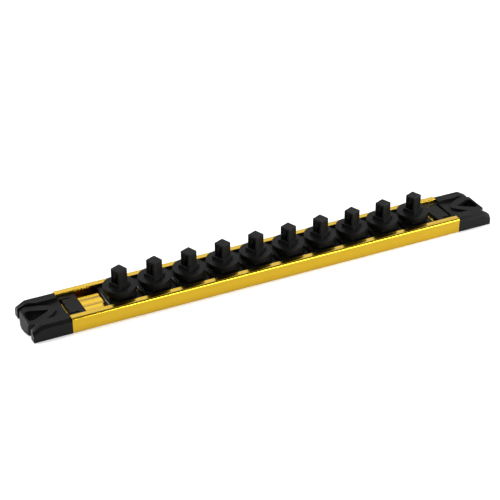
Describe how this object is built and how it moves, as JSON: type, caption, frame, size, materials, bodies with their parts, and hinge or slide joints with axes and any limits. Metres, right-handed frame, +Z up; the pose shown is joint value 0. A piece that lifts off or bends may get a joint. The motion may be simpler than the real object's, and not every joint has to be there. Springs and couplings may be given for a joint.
{
  "type": "socket rail",
  "caption": "Aluminium channel rail with moulded end caps with hanging holes, and a row of sliding twist-lock clips whose square posts hold sockets.",
  "frame": {"origin": "centre of the bounding box on the plane that the rail stands on", "axes": "+X along the rail towards end_cap_right, +Z up along the posts, +Y across the rail"},
  "size_m": [0.4024, 0.043, 0.0325],
  "materials": {
    "rail": "gold anodised, satin",
    "end_cap": "moulded, slightly glossy",
    "clip_carriage": "moulded, slightly glossy",
    "clip_stud": "moulded, slightly glossy",
    "stud_retainer": "spring steel"
  },
  "bodies": {
    "channel": {"rail": "rail", "end_cap_left": "end_cap", "end_cap_right": "end_cap"},
    "carriage_01": {"clip_carriage_01": "clip_carriage"},
    "stud_01": {"clip_stud_01": "clip_stud", "stud_retainer_01": "stud_retainer"},
    "carriage_02": {"clip_carriage_02": "clip_carriage"},
    "stud_02": {"clip_stud_02": "clip_stud", "stud_retainer_02": "stud_retainer"},
    "carriage_03": {"clip_carriage_03": "clip_carriage"},
    "stud_03": {"clip_stud_03": "clip_stud", "stud_retainer_03": "stud_retainer"},
    "carriage_04": {"clip_carriage_04": "clip_carriage"},
    "stud_04": {"clip_stud_04": "clip_stud", "stud_retainer_04": "stud_retainer"},
    "carriage_05": {"clip_carriage_05": "clip_carriage"},
    "stud_05": {"clip_stud_05": "clip_stud", "stud_retainer_05": "stud_retainer"},
    "carriage_06": {"clip_carriage_06": "clip_carriage"},
    "stud_06": {"clip_stud_06": "clip_stud", "stud_retainer_06": "stud_retainer"},
    "carriage_07": {"clip_carriage_07": "clip_carriage"},
    "stud_07": {"clip_stud_07": "clip_stud", "stud_retainer_07": "stud_retainer"},
    "carriage_08": {"clip_carriage_08": "clip_carriage"},
    "stud_08": {"clip_stud_08": "clip_stud", "stud_retainer_08": "stud_retainer"},
    "carriage_09": {"clip_carriage_09": "clip_carriage"},
    "stud_09": {"clip_stud_09": "clip_stud", "stud_retainer_09": "stud_retainer"},
    "carriage_10": {"clip_carriage_10": "clip_carriage"},
    "stud_10": {"clip_stud_10": "clip_stud", "stud_retainer_10": "stud_retainer"}
  },
  "joints": [
    {"name": "slide_01", "type": "slide", "parent": "channel", "child": "carriage_01", "axis": [1, 0, 0], "range_m": [-0.0182, 0.00085]},
    {"name": "twist_01", "type": "hinge", "parent": "carriage_01", "child": "stud_01", "pos_m": [-0.12252, 0, 0.0132], "axis": [0, 0, 1], "range_deg": [-45, 0]},
    {"name": "slide_02", "type": "slide", "parent": "channel", "child": "carriage_02", "axis": [1, 0, 0], "range_m": [-0.00085, 0.00085]},
    {"name": "twist_02", "type": "hinge", "parent": "carriage_02", "child": "stud_02", "pos_m": [-0.09376, 0, 0.0132], "axis": [0, 0, 1], "range_deg": [-45, 0]},
    {"name": "slide_03", "type": "slide", "parent": "channel", "child": "carriage_03", "axis": [1, 0, 0], "range_m": [-0.00085, 0.00085]},
    {"name": "twist_03", "type": "hinge", "parent": "carriage_03", "child": "stud_03", "pos_m": [-0.065, 0, 0.0132], "axis": [0, 0, 1], "range_deg": [-45, 0]},
    {"name": "slide_04", "type": "slide", "parent": "channel", "child": "carriage_04", "axis": [1, 0, 0], "range_m": [-0.00085, 0.00085]},
    {"name": "twist_04", "type": "hinge", "parent": "carriage_04", "child": "stud_04", "pos_m": [-0.03624, 0, 0.0132], "axis": [0, 0, 1], "range_deg": [-45, 0]},
    {"name": "slide_05", "type": "slide", "parent": "channel", "child": "carriage_05", "axis": [1, 0, 0], "range_m": [-0.00085, 0.00085]},
    {"name": "twist_05", "type": "hinge", "parent": "carriage_05", "child": "stud_05", "pos_m": [-0.00748, 0, 0.0132], "axis": [0, 0, 1], "range_deg": [-45, 0]},
    {"name": "slide_06", "type": "slide", "parent": "channel", "child": "carriage_06", "axis": [1, 0, 0], "range_m": [-0.00085, 0.00085]},
    {"name": "twist_06", "type": "hinge", "parent": "carriage_06", "child": "stud_06", "pos_m": [0.02128, 0, 0.0132], "axis": [0, 0, 1], "range_deg": [-45, 0]},
    {"name": "slide_07", "type": "slide", "parent": "channel", "child": "carriage_07", "axis": [1, 0, 0], "range_m": [-0.00085, 0.00085]},
    {"name": "twist_07", "type": "hinge", "parent": "carriage_07", "child": "stud_07", "pos_m": [0.05004, 0, 0.0132], "axis": [0, 0, 1], "range_deg": [-45, 0]},
    {"name": "slide_08", "type": "slide", "parent": "channel", "child": "carriage_08", "axis": [1, 0, 0], "range_m": [-0.00085, 0.00085]},
    {"name": "twist_08", "type": "hinge", "parent": "carriage_08", "child": "stud_08", "pos_m": [0.0788, 0, 0.0132], "axis": [0, 0, 1], "range_deg": [-45, 0]},
    {"name": "slide_09", "type": "slide", "parent": "channel", "child": "carriage_09", "axis": [1, 0, 0], "range_m": [-0.00085, 0.00085]},
    {"name": "twist_09", "type": "hinge", "parent": "carriage_09", "child": "stud_09", "pos_m": [0.10756, 0, 0.0132], "axis": [0, 0, 1], "range_deg": [-45, 0]},
    {"name": "slide_10", "type": "slide", "parent": "channel", "child": "carriage_10", "axis": [1, 0, 0], "range_m": [-0.00085, 0.0044]},
    {"name": "twist_10", "type": "hinge", "parent": "carriage_10", "child": "stud_10", "pos_m": [0.13632, 0, 0.0132], "axis": [0, 0, 1], "range_deg": [-45, 0]}
  ]
}
